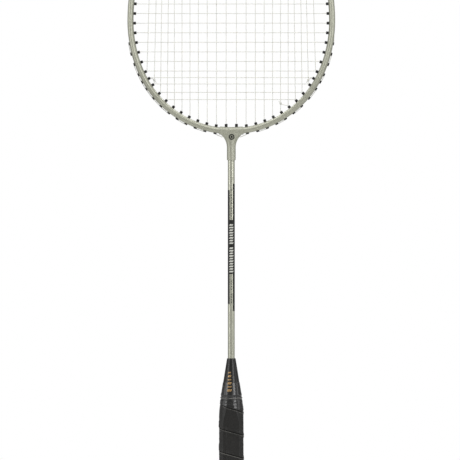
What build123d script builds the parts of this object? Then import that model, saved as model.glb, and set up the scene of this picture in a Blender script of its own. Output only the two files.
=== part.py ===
from build123d import *

import os
from math import acos, cos, degrees, hypot, radians, sin, sqrt, tan

# Badminton racket: a bent oval head tube strung through nylon grommets, a moulded T-joint, a steel shaft and
# a wooden handle with its cone, butt cap and wound grip.
#
# Frame: millimetres, +Z along the shaft from the butt end to the head, X across the head, the string bed in
# the XZ plane, the player's front face towards -Y. The origin is the centre of the butt cap's flat end.

# ---------------------------------------------------------------- driving dimensions
OVERALL_LENGTH = 670.0

TUBE_WIDTH = 6.3  # across the tube, in the plane of the strings
TUBE_DEPTH = 9.5  # through the tube, front to back
TUBE_WALL = 0.75
CROWN_WALL = 0.85  # on the inner side of the tube, where its outer side is pressed in

HEAD_HALF_WIDTH = 100.9  # to the tube's centreline, at the head's widest line
HEAD_LOWER = 110.15  # widest line down to the centreline at the throat
HEAD_UPPER = 131.5  # widest line up to the centreline at the crown
LOWER_SIDE_TURN = 24.0  # degrees that each arc turns, and the one radius that is chosen
UPPER_SIDE_TURN = 24.0
SHOULDER_TURN = 46.0
UPPER_SIDE_RADIUS = 205.0

GROOVE_DEPTH = 2.0  # the string groove pressed into the outer side of the crown
GROOVE_WIDTH = 3.8
GROOVE_ROUND = 0.2
GROOVE_END_ANGLE = -2.0  # normal angle where the groove turns into its straight run-out
GROOVE_RUN_OUT = 30.0
GROOVE_RUN_OUT_TURN = 10.5  # degrees of the head over which the run-out comes up to the surface
CROWN_ANGLE = 45.0  # grommets above this normal angle belong to the crown

JOINT_HALF_SPAN = 11.8  # half the joint's width across the two tube ends
JOINT_SKIN = 0.95  # how far the joint stands proud of the tube
JOINT_SLEEVE_RADIUS = 4.4
JOINT_SLEEVE_BOTTOM = 396.1
JOINT_FACE_SKIN = 0.55  # the same, on the front and back faces
JOINT_FLARE_RADIUS = 17.0  # concave radius between sleeve and shoulders
JOINT_FLARE_BOTTOM = 408.75
JOINT_FLARE_INSET = 0.15  # the flare stays this far under the arm's faces
JOINT_SECTIONS = 6
SPIGOT_TURN = 10.0  # degrees of head arc that a spigot reaches into the tube
SHAFT_IN_JOINT = 20.0

SHAFT_RADIUS = 3.45
SHAFT_WALL = 0.5
SHAFT_BOTTOM = 55.0
GLUE_GAP = 0.02  # radial room round every glued or pressed fit

STRING_RADIUS = 0.35
LAYER = 0.36  # mains run this far behind the mid-plane and crosses this far in front
MAIN_FIRST = 5.15  # half the middle gap between the two middle mains
MAIN_PITCH = 9.7  # from the first main to the second
MAIN_CLOSING = 0.42  # each pitch is this much smaller than the one before
MAIN_LAST_GAP = 7.2
MAINS_PER_SIDE = 11
SHARED_MAINS = 4  # the outermost mains share their grommets with crosses
CROSS_PITCH = 9.6
EVEN_CROSSES = 13  # evenly pitched crosses above the shared ones
CLOSE_CROSS_PITCH = 7.3  # pitch of the last crosses below the crown
CLOSE_CROSSES = 4

GROMMET_BORE = 1.0
GROMMET_BARREL = 1.45
GROMMET_FLANGE = 1.7
FLANGE_HEIGHT = 1.15
SEAT_GAP = 0.02
GROMMET_ROUND = 0.25
SADDLE_WIDTH = 1.6  # slot across the flange in which the strings lie
SADDLE_DEPTH = 0.8
BARREL_PROUD = 2.4  # how far a barrel stands inside the head
STRING_LIFT = 0.62  # a string's centreline above the floor of that slot
OUTER_BEND = 0.9  # centreline radius where a string turns over a flange
INNER_BEND = 1.2
INNER_REACH = 0.3  # a string turns this far past the barrel's mouth
STRAIGHT_ENOUGH = 3.0  # degrees below which a string runs on with no bend
KNOT_RADIUS = 0.9
KNOT_CLEAR = 1.4  # knot centre to the axis of the string that it is tied to
KNOT_OFFSET = 1.0  # knot centre to the mid-plane

THROAT_PROUD = 3.0  # the two grommets in the joint stand this far above it
THROAT_BEND = 3.6  # from the joint's top down to the bend of their bores
THROAT_SLANT = 30.0
THROAT_LENGTH = 6.4  # of the slanting part of each of those two grommets, flush with the shoulder
THROAT_EXIT = 7.6  # along the slant, from the bend to where the string turns outside

CONE_TOP = 198.0
CONE_TOP_RADIUS = 4.3
CONE_SHOULDER = 162.2
CONE_BASE = 152.0
CONE_BASE_RADIUS = 10.0
CONE_WALL = 1.4
NECK_TOP = 180.0  # end of the wooden neck inside the cone

CORE_WIDTH, CORE_DEPTH = 21.8, 20.0  # wooden handle across its flats
CORE_CHAMFER = 3.1
BUTT_THICKNESS = 2.0
BUTT_HEIGHT = 12.0
BUTT_WIDTH, BUTT_DEPTH = 27.4, 25.4
BUTT_CHAMFER = 4.2
BUTT_WALL = 0.9
BUTT_ROUND = 1.2
BUTT_FLARE_TOP = 26.0
GRIP_THICKNESS = 1.25
GRIP_BOTTOM = 3.5
GRIP_TOP = 159.0
GRIP_END_THICKNESS = 0.3  # where the skived end of the grip goes under the tape
CORE_SHOULDER = 133.2  # where the handle starts to cone in
CORE_SHOULDER_RADIUS = 12.95

PIN_RADIUS = 1.0
PIN_HEIGHT = 118.0
PIN_INSET = 0.3
TACK_SPACING = 11.0
TACK_INSET = 0.4
TACK_HEAD_RADIUS = 2.2
TACK_HEAD = 0.6
TACK_SHANK_RADIUS = 0.7
TACK_LENGTH = 14.0

CONE_LIP = 0.6
CONE_HOLLOW_TOP = 188.0
CONE_DECAL_SPAN = (164.3, 186.3)
CONE_DECAL_X, CONE_DECAL_WIDTH = -1.9, 5.5

DECAL_THICKNESS = 0.06
DECAL_BAND = (282.3, 336.3)
DECAL_STRIPS = ((1, 245.3, 372.3), (-1, 252.3, 366.3))  # side, bottom, top
DECAL_STRIP_EDGE = 1.65  # from the shaft's axis out to the edge of a side strip

TAPE_THICKNESS = 0.15
TAPE_TOP = 174.3
TAPE_BOTTOM = 151.0

WIDEST_Z = OVERALL_LENGTH - HEAD_UPPER - TUBE_WIDTH / 2


# ---------------------------------------------------------------- the head's outline
def arc_pair(start, middle, across, along):
    """Radii of two tangent arcs whose normals turn from start to middle to 90 degrees and that cover
    the two distances together."""
    a0, a1 = radians(start), radians(middle)
    x1, x2 = cos(a0) - cos(a1), cos(a1)
    z1, z2 = sin(a1) - sin(a0), 1 - sin(a1)
    det = x1 * z2 - x2 * z1
    return (across * z2 - x2 * along) / det, (x1 * along - across * z1) / det


def head_arcs():
    """The right half of the head's centreline: (centre x, centre z, radius, lowest and highest angle)."""
    low_side, bottom = arc_pair(0, LOWER_SIDE_TURN, HEAD_HALF_WIDTH, HEAD_LOWER)
    turn = radians(UPPER_SIDE_TURN)
    shoulder, crown = arc_pair(
        UPPER_SIDE_TURN,
        UPPER_SIDE_TURN + SHOULDER_TURN,
        HEAD_HALF_WIDTH - UPPER_SIDE_RADIUS * (1 - cos(turn)),
        HEAD_UPPER - UPPER_SIDE_RADIUS * sin(turn),
    )
    arcs = []
    for sign, steps in (
        (-1, ((low_side, 0, LOWER_SIDE_TURN), (bottom, LOWER_SIDE_TURN, 90))),
        (
            1,
            (
                (UPPER_SIDE_RADIUS, 0, UPPER_SIDE_TURN),
                (shoulder, UPPER_SIDE_TURN, UPPER_SIDE_TURN + SHOULDER_TURN),
                (crown, UPPER_SIDE_TURN + SHOULDER_TURN, 90),
            ),
        ),
    ):
        x, z = HEAD_HALF_WIDTH, WIDEST_Z
        for radius, start, end in steps:
            cx = x - radius * cos(radians(start))
            cz = z - sign * radius * sin(radians(start))
            x, z = cx + radius * cos(radians(end)), cz + sign * radius * sin(radians(end))
            arcs.append((cx, cz, radius, min(sign * start, sign * end), max(sign * start, sign * end)))
    return sorted(arcs, key=lambda arc: arc[3])


ARCS = head_arcs()


def rim(angle, out=0.0, side=1):
    """The point (x, z) whose outward normal stands at that angle above the X axis, moved outwards by out."""
    cx, cz, radius = next(arc[:3] for arc in ARCS if angle <= arc[4])
    reach = radius + out
    return side * (cx + reach * cos(radians(angle))), cz + reach * sin(radians(angle))


def rim_angle(axis, value, low, high, out):
    """The normal angle between low and high where the offset outline's x (axis 0) or z (axis 1) is value."""
    rising = rim(high, out)[axis] > rim(low, out)[axis]
    for _ in range(50):
        middle = (low + high) / 2
        if (rim(middle, out)[axis] < value) == rising:
            low = middle
        else:
            high = middle
    return (low + high) / 2


MOUTH = -(TUBE_WIDTH / 2 + BARREL_PROUD)  # offset of a barrel's inner end
TUBE_END_ANGLE = rim_angle(0, JOINT_HALF_SPAN, -90, -45, 0)


def head_path(low_angle, run_out=0.0):
    """The centreline from low_angle on the right, over the crown, to the same place on the left, with a
    straight tangent run-out at each end if one is wanted."""
    stretches = [(max(arc[3], low_angle), arc[4]) for arc in ARCS if arc[4] > low_angle]
    edges = []
    for side, order in ((1, stretches), (-1, stretches[::-1])):
        for low, high in order:
            ends = (low, high) if side > 0 else (high, low)
            points = [rim(a, 0, side) for a in (ends[0], (low + high) / 2, ends[1])]
            edges.append(ThreePointArc(*[(x, 0, z) for x, z in points]))
    if run_out:
        x, z = rim(low_angle)
        dx, dz = run_out * sin(radians(low_angle)), -run_out * cos(radians(low_angle))
        edges.insert(0, Line((x + dx, 0, z + dz), (x, 0, z)))
        edges.append(Line((-x, 0, z), (-x - dx, 0, z + dz)))
    return Wire(edges)


def section_plane(path):
    """The plane across a head path at its start, its x axis pointing out of the head, its y axis along Y."""
    tangent = path % 0
    return Plane(origin=path @ 0, x_dir=Vector(0, 1, 0).cross(tangent), z_dir=tangent)


def swept_oval(path, width, depth, shift=0.0):
    return sweep(section_plane(path) * Pos(shift, 0) * Ellipse(width / 2, depth / 2), path=path)


# ---------------------------------------------------------------- where the strings go
def main_spacing():
    """Distances of the mains from the middle of the head, at the throat end."""
    x, places = MAIN_FIRST, [MAIN_FIRST]
    for k in range(MAINS_PER_SIDE - 2):
        x += MAIN_PITCH - k * MAIN_CLOSING
        places.append(x)
    return places + [x + MAIN_LAST_GAP]


class Hole:
    """One grommet hole on the right half of the head; the left half mirrors it."""

    def __init__(self, angle):
        self.angle = angle
        run_angle = radians(GROOVE_END_ANGLE - angle)
        floor = TUBE_WIDTH / 2 - GROOVE_DEPTH
        if run_angle > 0:  # on the straight run-out, or below it
            side_radius = arc_pair(0, LOWER_SIDE_TURN, HEAD_HALF_WIDTH, HEAD_LOWER)[0]
            floor = (floor + side_radius * (1 - cos(run_angle))) / cos(run_angle)
            floor += GROMMET_FLANGE * tan(run_angle)
        self.seat = min(TUBE_WIDTH / 2, floor) + SEAT_GAP

    def at(self, out, side):
        return rim(self.angle, out, side)

    def over(self, side):
        """Where a string's centreline turns over the flange."""
        return self.at(self.seat + FLANGE_HEIGHT - SADDLE_DEPTH + STRING_LIFT, side)

    def inside(self, side):
        """Where a string turns inside the head, past the barrel's mouth."""
        return self.at(MOUTH - INNER_REACH, side)


def holes_by_x(places, low, high):
    return [Hole(rim_angle(0, x, low, high, MOUTH)) for x in places]


def holes_by_z(places):
    return [Hole(rim_angle(1, WIDEST_Z + z, -88, 88, MOUTH)) for z in places]


def mouth_height(hole):
    return hole.at(MOUTH, 1)[1] - WIDEST_Z


MAIN_X = main_spacing()
BOTTOM = holes_by_x(MAIN_X, -89.9, -1)  # one for each main, from the middle out
TOP_ALONE = holes_by_x(MAIN_X[:-SHARED_MAINS], 89.9, 1)

# Crosses from the throat to the crown. The outer mains share the holes of some crosses.
SHARED_BOTTOM = BOTTOM[-SHARED_MAINS:]
LOW_SIDE = Hole((SHARED_BOTTOM[2].angle + SHARED_BOTTOM[3].angle) / 2)
EVEN_START = mouth_height(BOTTOM[-1])
EVEN_SIDES = holes_by_z([EVEN_START + CROSS_PITCH * k for k in range(1, EVEN_CROSSES + 1)])
CROWN_START = mouth_height(EVEN_SIDES[-1])
CROWN_SIDES = holes_by_z([CROWN_START + CLOSE_CROSS_PITCH * k for k in range(1, CLOSE_CROSSES + 1)])
CROSS_HOLES = SHARED_BOTTOM[:3] + [LOW_SIDE, SHARED_BOTTOM[3]] + EVEN_SIDES + CROWN_SIDES
TOP = TOP_ALONE + CROWN_SIDES[:0:-1] + [EVEN_SIDES[-1]]

# The two middle mains go through the joint: straight down, then slanting out under its shoulder.
JOINT_TOP = WIDEST_Z - HEAD_LOWER + TUBE_WIDTH / 2 + JOINT_SKIN
THROAT_BEND_Z = JOINT_TOP - THROAT_BEND


def throat_points(side):
    """The bend inside the joint and the turn under its shoulder, for a middle main."""
    bend = (side * MAIN_FIRST, THROAT_BEND_Z)
    return bend, slanted(bend, side, THROAT_EXIT)


def slanted(bend, side, reach):
    """The point that far from the bend along the slanting part of a throat grommet."""
    slant = radians(THROAT_SLANT)
    return bend[0] + side * reach * sin(slant), bend[1] - reach * cos(slant)


def main_route():
    """The mains as one string: tie-off, down and up across the head from left to right, tie-off."""
    mains = [(-1, k) for k in reversed(range(MAINS_PER_SIDE))] + [(1, k) for k in range(MAINS_PER_SIDE)]
    points = tie_off(LOW_SIDE, -1, MAINS_PER_SIDE - 2)
    upwards = True
    for side, k in mains:
        if k:
            foot = [BOTTOM[k].over(side), BOTTOM[k].inside(side)]
        else:
            bend, turn = throat_points(side)
            foot = [turn, bend]
        run = foot + [TOP[k].inside(side), TOP[k].over(side)]
        points += run if upwards else run[::-1]
        if k == MAINS_PER_SIDE - 1:  # the loop beside the outermost main lies over one more flange
            points.insert(len(points) - (0 if side < 0 else len(run)), CROWN_SIDES[0].over(side))
        upwards = not upwards
    return points + tie_off(LOW_SIDE, 1, MAINS_PER_SIDE - 2)[::-1]


def cross_route():
    """The crosses as one string, from the throat to the crown, starting and ending on the right."""
    low_tie, high_tie = BOTTOM[-SHARED_MAINS - 1], TOP[-SHARED_MAINS - 1]
    knotted = MAINS_PER_SIDE - SHARED_MAINS - 2
    points = tie_off(low_tie, 1, knotted)
    side = 1
    for hole in CROSS_HOLES:
        points += [hole.over(side), hole.inside(side), hole.inside(-side), hole.over(-side)]
        side = -side
    return points + tie_off(high_tie, side, knotted)[::-1]


def tie_off(hole, side, main):
    """A string's end: its knot beside a main, then out through a spare hole."""
    x, z = hole.inside(side)
    (foot_x, foot_z), (head_x, head_z) = BOTTOM[main].inside(side), TOP[main].inside(side)
    main_x = foot_x + (head_x - foot_x) * (z - foot_z) / (head_z - foot_z)
    return [(main_x + side * KNOT_CLEAR, z), (x, z), hole.over(side)]


def turn_at(before, point, after):
    """Degrees that a route turns at a point."""
    a = (point[0] - before[0], point[1] - before[1])
    b = (after[0] - point[0], after[1] - point[1])
    return degrees(acos(max(-1, min(1, (a[0] * b[0] + a[1] * b[1]) / (hypot(*a) * hypot(*b))))))


def string_solid(route, layer):
    """One continuous string along the route, at its own layer, with a knot at each end."""
    kept = [route[0]]
    for k in range(1, len(route) - 1):
        if turn_at(kept[-1], route[k], route[k + 1]) > STRAIGHT_ENOUGH:
            kept.append(route[k])
    kept.append(route[-1])
    points = [(x, layer, z) for x, z in kept]
    radii = [
        OUTER_BEND if turn_at(*kept[k - 1 : k + 2]) > 60 else INNER_BEND for k in range(1, len(kept) - 1)
    ]
    path = FilletPolyline(*points, radius=radii)
    wire = Wire(path.edges())
    string = sweep(Plane(origin=wire @ 0, z_dir=wire % 0) * Circle(STRING_RADIUS), path=wire)
    knot_y = KNOT_OFFSET if layer > 0 else -KNOT_OFFSET
    return string + [Pos(x, knot_y, z) * Sphere(KNOT_RADIUS) for x, z in (kept[0], kept[-1])]


# ---------------------------------------------------------------- small helpers
def rod(radius, start, end):
    """A cylinder between two points of the mid-plane."""
    (x0, z0), (x1, z1) = start, end
    place = Plane(origin=(x0, 0, z0), x_dir=(0, 1, 0), z_dir=(x1 - x0, 0, z1 - z0))
    return place * Cylinder(radius, hypot(x1 - x0, z1 - z0), align=(Align.CENTER, Align.CENTER, Align.MIN))


def octagon(width, depth, corner):
    """A handle's cross-section: a rectangle with four equal chamfers."""
    outline = Rectangle(width, depth)
    return chamfer(outline.vertices(), corner)


def octagon_prism(width, depth, corner, low, high):
    return extrude(Pos(0, 0, low) * octagon(width, depth, corner), high - low)


def octagon_taper(lower, upper, low, high):
    """A ruled solid between two octagons, each given as (width, depth, corner)."""
    return loft([Pos(0, 0, low) * octagon(*lower), Pos(0, 0, high) * octagon(*upper)], ruled=True)


def turned(*points):
    """A solid of revolution about Z from (radius, height) points."""
    outline = Plane.XZ * make_face(Polyline(*points, close=True))
    return revolve(outline, Axis.Z)


def tube_about_z(inner, outer, low, high):
    return turned((inner, low), (outer, low), (outer, high), (inner, high))


def grown(size, by):
    """An octagon (width, depth, corner) moved outwards by that much on every flat."""
    width, depth, corner = size
    return width + 2 * by, depth + 2 * by, corner + by * (2 - sqrt(2))


# ---------------------------------------------------------------- head, joint and shaft
def every_hole():
    """(hole, side) for each hole that is drilled through the tube."""
    singles = BOTTOM[1:-SHARED_MAINS] + TOP_ALONE
    return [(hole, side) for hole in singles + CROSS_HOLES for side in (1, -1)]


def lower_path(low, high, side):
    """A stretch of the centreline on one side, from the normal angle low up to high."""
    edges = []
    for arc in ARCS:
        start, end = max(arc[3], low), min(arc[4], high)
        if end > start:
            points = [rim(a, 0, side) for a in (start, (start + end) / 2, end)]
            edges.append(ThreePointArc(*[(x, 0, z) for x, z in points]))
    return Wire(edges)


def drills(holes):
    radius = GROMMET_BARREL + GLUE_GAP
    return [rod(radius, hole.at(-TUBE_WIDTH, side), hole.at(TUBE_WIDTH, side)) for hole, side in holes]


def head_frame():
    """The bent tube: full section below, its outer wall pressed in as a string groove round the crown."""
    tube = swept_oval(head_path(TUBE_END_ANGLE), TUBE_WIDTH, TUBE_DEPTH)

    pressed = TUBE_WALL + GROOVE_DEPTH
    meeting = GROOVE_END_ANGLE - GROOVE_RUN_OUT_TURN
    crown_width = TUBE_WIDTH - CROWN_WALL - pressed
    crown_depth = TUBE_DEPTH - 4 * TUBE_WALL
    tube -= swept_oval(head_path(meeting), crown_width, crown_depth, (CROWN_WALL - pressed) / 2)
    for side in (1, -1):
        low_path = lower_path(TUBE_END_ANGLE, meeting, side)
        tube -= swept_oval(low_path, TUBE_WIDTH - 2 * TUBE_WALL, TUBE_DEPTH - 2 * TUBE_WALL)

    groove_path = head_path(GROOVE_END_ANGLE, run_out=GROOVE_RUN_OUT)
    floor = TUBE_WIDTH / 2 - GROOVE_DEPTH
    slot = RectangleRounded(2 * TUBE_WIDTH, GROOVE_WIDTH, GROOVE_ROUND)
    tube -= sweep(section_plane(groove_path) * Pos(floor + TUBE_WIDTH, 0) * slot, path=groove_path)
    return tube - drills(every_hole())


def joint_half_width(z):
    """Half the joint's width at height z, where it swells from the sleeve to the shoulders."""
    rise = max(0.0, z - JOINT_FLARE_BOTTOM)
    return JOINT_SLEEVE_RADIUS + JOINT_FLARE_RADIUS - sqrt(JOINT_FLARE_RADIUS**2 - rise**2)


def t_joint():
    """The moulding between head and shaft: an arm over the tube's two ends, a flare and a sleeve."""
    right, bottom, left = rim(TUBE_END_ANGLE), rim(-90), rim(TUBE_END_ANGLE, 0, -1)
    arm_path = Wire([ThreePointArc(*[(x, 0, z) for x, z in (left, bottom, right)])])
    joint = swept_oval(arm_path, TUBE_WIDTH + 2 * JOINT_SKIN, TUBE_DEPTH + 2 * JOINT_FACE_SKIN)

    flare_top = WIDEST_Z - HEAD_LOWER - TUBE_WIDTH / 2
    swell = TUBE_DEPTH / 2 + JOINT_FACE_SKIN - JOINT_FLARE_INSET - JOINT_SLEEVE_RADIUS
    sections = []
    for k in range(JOINT_SECTIONS + 1):
        part_way = k / JOINT_SECTIONS
        z = JOINT_FLARE_BOTTOM + part_way * (flare_top - JOINT_FLARE_BOTTOM)
        half_depth = JOINT_SLEEVE_RADIUS + part_way**2 * swell
        sections.append(Pos(0, 0, z) * Ellipse(joint_half_width(z), half_depth))
    joint += loft(sections)
    joint += tube_about_z(0, JOINT_SLEEVE_RADIUS, JOINT_SLEEVE_BOTTOM, JOINT_FLARE_BOTTOM)

    for side in (1, -1):
        spigot_path = lower_path(TUBE_END_ANGLE, TUBE_END_ANGLE + SPIGOT_TURN, side)
        inner = 2 * (TUBE_WALL + GLUE_GAP)
        joint += swept_oval(spigot_path, TUBE_WIDTH - inner, TUBE_DEPTH - inner)
        joint -= throat_rods(GROMMET_BARREL + GLUE_GAP, side, THROAT_EXIT)
    joint -= drills([(hole, side) for hole in BOTTOM[1:4] for side in (1, -1)])
    shaft_top = JOINT_SLEEVE_BOTTOM + SHAFT_IN_JOINT
    return joint - tube_about_z(0, SHAFT_RADIUS + GLUE_GAP, JOINT_SLEEVE_BOTTOM - 1, shaft_top)


def shaft():
    top = JOINT_SLEEVE_BOTTOM + SHAFT_IN_JOINT
    return tube_about_z(SHAFT_RADIUS - SHAFT_WALL, SHAFT_RADIUS, SHAFT_BOTTOM, top) - pin(GLUE_GAP)


def shaft_decal():
    """Printed film: a full band with a narrow strip running past both of its ends on either side."""
    inner, outer = SHAFT_RADIUS, SHAFT_RADIUS + DECAL_THICKNESS
    film = tube_about_z(inner, outer, *DECAL_BAND)
    for side, low, high in DECAL_STRIPS:
        window = Pos(side * (inner + DECAL_STRIP_EDGE), 0, (low + high) / 2)
        film += tube_about_z(inner, outer, low, high) & window * Box(2 * inner, 4 * inner, high - low)
    return film


# ---------------------------------------------------------------- grommets and strings
def grommet(hole, side):
    """A flanged nylon eyelet: its barrel lines the hole and stands proud inside the head."""
    flange_top = hole.seat + FLANGE_HEIGHT
    body = rod(GROMMET_BARREL, hole.at(MOUTH, side), hole.at(hole.seat, side))
    body += rod(GROMMET_FLANGE, hole.at(hole.seat, side), hole.at(flange_top, side))
    rims = body.edges().filter_by(GeomType.CIRCLE).group_by(lambda edge: along_normal(edge, hole, side))
    body = fillet(rims[0] + rims[-1], GROMMET_ROUND)
    x, z = hole.at(flange_top, side)
    normal = (side * cos(radians(hole.angle)), 0, sin(radians(hole.angle)))
    across = Plane(origin=(x, 0, z), x_dir=(0, 1, 0), z_dir=normal)
    body -= across * Box(SADDLE_WIDTH, 3 * GROMMET_FLANGE, 2 * SADDLE_DEPTH)
    return body - rod(GROMMET_BORE, hole.at(MOUTH - 1, side), hole.at(flange_top + 1, side))


def along_normal(edge, hole, side):
    """How far out along a hole's normal an edge lies."""
    x, z = hole.at(0, side)
    place = edge.center() - Vector(x, 0, z)
    return round(place.dot(Vector(side * cos(radians(hole.angle)), 0, sin(radians(hole.angle)))), 3)


def throat_rods(radius, side, reach, rise=2 * THROAT_PROUD):
    """The bent rod of that radius that follows a middle main through the joint."""
    bend = throat_points(side)[0]
    upright = rod(radius, bend, (bend[0], JOINT_TOP + rise))
    elbow = Pos(bend[0], 0, bend[1]) * Sphere(radius)
    return upright + elbow + rod(radius, bend, slanted(bend, side, reach))


def throat_grommet(side):
    outer = throat_rods(GROMMET_BARREL, side, THROAT_LENGTH, THROAT_PROUD)
    return outer - throat_rods(GROMMET_BORE, side, THROAT_EXIT)


def grommet_groups():
    """Grommets by where they sit: throat pair, plain lower tube left and right, grooved sides, crown."""
    groups = {"grommets_throat": [throat_grommet(side) for side in (1, -1)]}
    for hole, side in every_hole():
        if hole.angle > CROWN_ANGLE:
            name = "grommets_crown"
        else:
            zone = "lower" if hole.seat > TUBE_WIDTH / 2 else "side"
            name = f"grommets_{zone}_{'right' if side > 0 else 'left'}"
        groups.setdefault(name, []).append(grommet(hole, side))
    return groups


# ---------------------------------------------------------------- handle
CORE = (CORE_WIDTH, CORE_DEPTH, CORE_CHAMFER)
BUTT = (BUTT_WIDTH, BUTT_DEPTH, BUTT_CHAMFER)
BUTT_CORE = grown(BUTT, -BUTT_WALL)


def cone_radius(z):
    """Outer radius of the cone cap."""
    slope = (CONE_BASE_RADIUS - CONE_TOP_RADIUS) / (CONE_TOP - CONE_SHOULDER)
    return CONE_BASE_RADIUS - slope * max(0.0, z - CONE_SHOULDER)


def cone_solid(grow=0.0):
    """The solid that the cone cap's outside bounds, moved outwards by grow."""
    return turned(
        (0, CONE_BASE),
        (CONE_BASE_RADIUS + grow, CONE_BASE),
        (CONE_BASE_RADIUS + grow, CONE_SHOULDER),
        (CONE_TOP_RADIUS + grow, CONE_TOP),
        (0, CONE_TOP),
    )


def pin(gap=0.0):
    """The cross pin through handle and shaft."""
    length = CORE_DEPTH - 2 * PIN_INSET
    return Pos(0, 0, PIN_HEIGHT) * Rot(90, 0, 0) * Cylinder(PIN_RADIUS + gap, length + 2 * gap)


def tack(side, gap=0.0):
    """A flat-headed tack driven up through the butt cap, its head sunk in the cap's end."""
    x = side * TACK_SPACING / 2
    shank = turned(
        (0, TACK_INSET),
        (TACK_HEAD_RADIUS + gap, TACK_INSET),
        (TACK_HEAD_RADIUS + gap, TACK_INSET + TACK_HEAD + gap),
        (TACK_SHANK_RADIUS + gap, TACK_INSET + TACK_HEAD + gap),
        (TACK_SHANK_RADIUS + gap, TACK_LENGTH - 1.5),
        (0, TACK_LENGTH + gap),
    )
    return Pos(x, 0, 0) * shank


def core_solid():
    """The wooden handle before drilling: butt flare, octagonal length, coned shoulder and round neck."""
    body = octagon_prism(*CORE, BUTT_THICKNESS, CONE_BASE)
    body &= turned(
        (0, 0),
        (BUTT_WIDTH, 0),
        (BUTT_WIDTH, CORE_SHOULDER),
        (CORE_SHOULDER_RADIUS, CORE_SHOULDER),
        (CONE_BASE_RADIUS, CONE_BASE),
        (0, CONE_BASE),
    )
    body += octagon_prism(*BUTT_CORE, BUTT_THICKNESS, BUTT_HEIGHT)
    body += octagon_taper(BUTT_CORE, CORE, BUTT_HEIGHT, BUTT_FLARE_TOP)
    neck = CONE_BASE_RADIUS - CONE_WALL
    return body + turned(
        (0, CONE_BASE),
        (neck, CONE_BASE),
        (neck, CONE_SHOULDER),
        (cone_radius(NECK_TOP) - CONE_WALL, NECK_TOP),
        (0, NECK_TOP),
    )


def handle_core():
    core = core_solid() - tube_about_z(0, SHAFT_RADIUS + GLUE_GAP, SHAFT_BOTTOM, CONE_TOP)
    for side in (1, -1):
        core -= tack(side, GLUE_GAP)
    return core - pin(GLUE_GAP)


def cone_cap():
    """The plastic cone over the handle's neck, open inside between the neck and its top."""
    cap = cone_solid()
    cap = fillet(cap.edges().filter_by(GeomType.CIRCLE).sort_by(Axis.Z)[-1], CONE_LIP)
    neck = CONE_BASE_RADIUS - CONE_WALL
    cap -= turned(
        (0, CONE_BASE),
        (neck, CONE_BASE),
        (neck, CONE_SHOULDER),
        (cone_radius(CONE_HOLLOW_TOP) - CONE_WALL, CONE_HOLLOW_TOP),
        (0, CONE_HOLLOW_TOP),
    )
    return cap - tube_about_z(0, SHAFT_RADIUS + GLUE_GAP, CONE_HOLLOW_TOP, CONE_TOP)


def cone_decal():
    """Printed film on the front of the cone."""
    low, high = CONE_DECAL_SPAN
    window = Pos(CONE_DECAL_X, -CONE_BASE_RADIUS, (low + high) / 2) * Box(
        CONE_DECAL_WIDTH, 2 * CONE_BASE_RADIUS, high - low
    )
    return (cone_solid(DECAL_THICKNESS) - cone_solid()) & window


def butt_cap():
    """The moulded cup over the handle's end, its bottom edge rounded."""
    cup = octagon_prism(*BUTT, 0, BUTT_HEIGHT)
    cup = fillet(cup.faces().sort_by(Axis.Z)[0].edges(), BUTT_ROUND)
    cup -= octagon_prism(*BUTT_CORE, BUTT_THICKNESS, BUTT_HEIGHT)
    for side in (1, -1):
        cup -= tack(side, GLUE_GAP) + Pos(side * TACK_SPACING / 2, 0, 0) * Cylinder(
            TACK_HEAD_RADIUS + GLUE_GAP, 2 * TACK_INSET
        )
    return cup


def grip_length(grow=0.0):
    """The solid inside the wound grip, from the butt's end to the cone, moved outwards by grow."""
    sleeve = octagon_prism(*grown(CORE, GRIP_THICKNESS + grow), GRIP_BOTTOM, GRIP_TOP)
    return sleeve & turned(
        (0, 0),
        (BUTT_WIDTH, 0),
        (BUTT_WIDTH, CORE_SHOULDER),
        (CORE_SHOULDER_RADIUS + GRIP_THICKNESS + grow, CORE_SHOULDER),
        (CONE_BASE_RADIUS + GRIP_END_THICKNESS + grow, GRIP_TOP),
        (0, GRIP_TOP),
    )


def grip_solid():
    """The same with its swelling over the butt."""
    over_butt = grown(BUTT, GRIP_THICKNESS)
    sleeve = grip_length() + octagon_prism(*over_butt, GRIP_BOTTOM, BUTT_HEIGHT)
    return sleeve + octagon_taper(over_butt, grown(CORE, GRIP_THICKNESS), BUTT_HEIGHT, BUTT_FLARE_TOP)


def grip_wrap():
    """The cushioned grip as one closed sleeve."""
    return grip_solid() - core_solid() - cone_solid() - octagon_prism(*BUTT, 0, BUTT_HEIGHT)


def finishing_tape():
    """The band over the cone's foot and the end of the grip."""
    reach = 2 * CONE_BASE_RADIUS
    band = cone_solid(TAPE_THICKNESS) & tube_about_z(0, reach, GRIP_TOP, TAPE_TOP)
    band += grip_length(TAPE_THICKNESS) & tube_about_z(0, reach, TAPE_BOTTOM, GRIP_TOP)
    band += turned(
        (0, GRIP_TOP),
        (CONE_BASE_RADIUS + GRIP_END_THICKNESS + TAPE_THICKNESS, GRIP_TOP),
        (CONE_BASE_RADIUS + TAPE_THICKNESS, GRIP_TOP + 1),
        (0, GRIP_TOP + 1),
    )
    return band - grip_solid() - cone_solid() - core_solid() - cone_decal()


# ---------------------------------------------------------------- build
PIECES = {
    "head_frame": head_frame,
    "t_joint": t_joint,
    "shaft": shaft,
    "shaft_decal": shaft_decal,
    "shaft_pin": pin,
    "handle_core": handle_core,
    "cone_cap": cone_cap,
    "cone_decal": cone_decal,
    "butt_cap": butt_cap,
    "grip_wrap": grip_wrap,
    "finishing_tape": finishing_tape,
    "main_string": lambda: string_solid(main_route(), LAYER),
    "cross_string": lambda: string_solid(cross_route(), -LAYER),
}
GROUPS = {"butt_tacks": lambda: [tack(side) for side in (1, -1)]}


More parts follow.
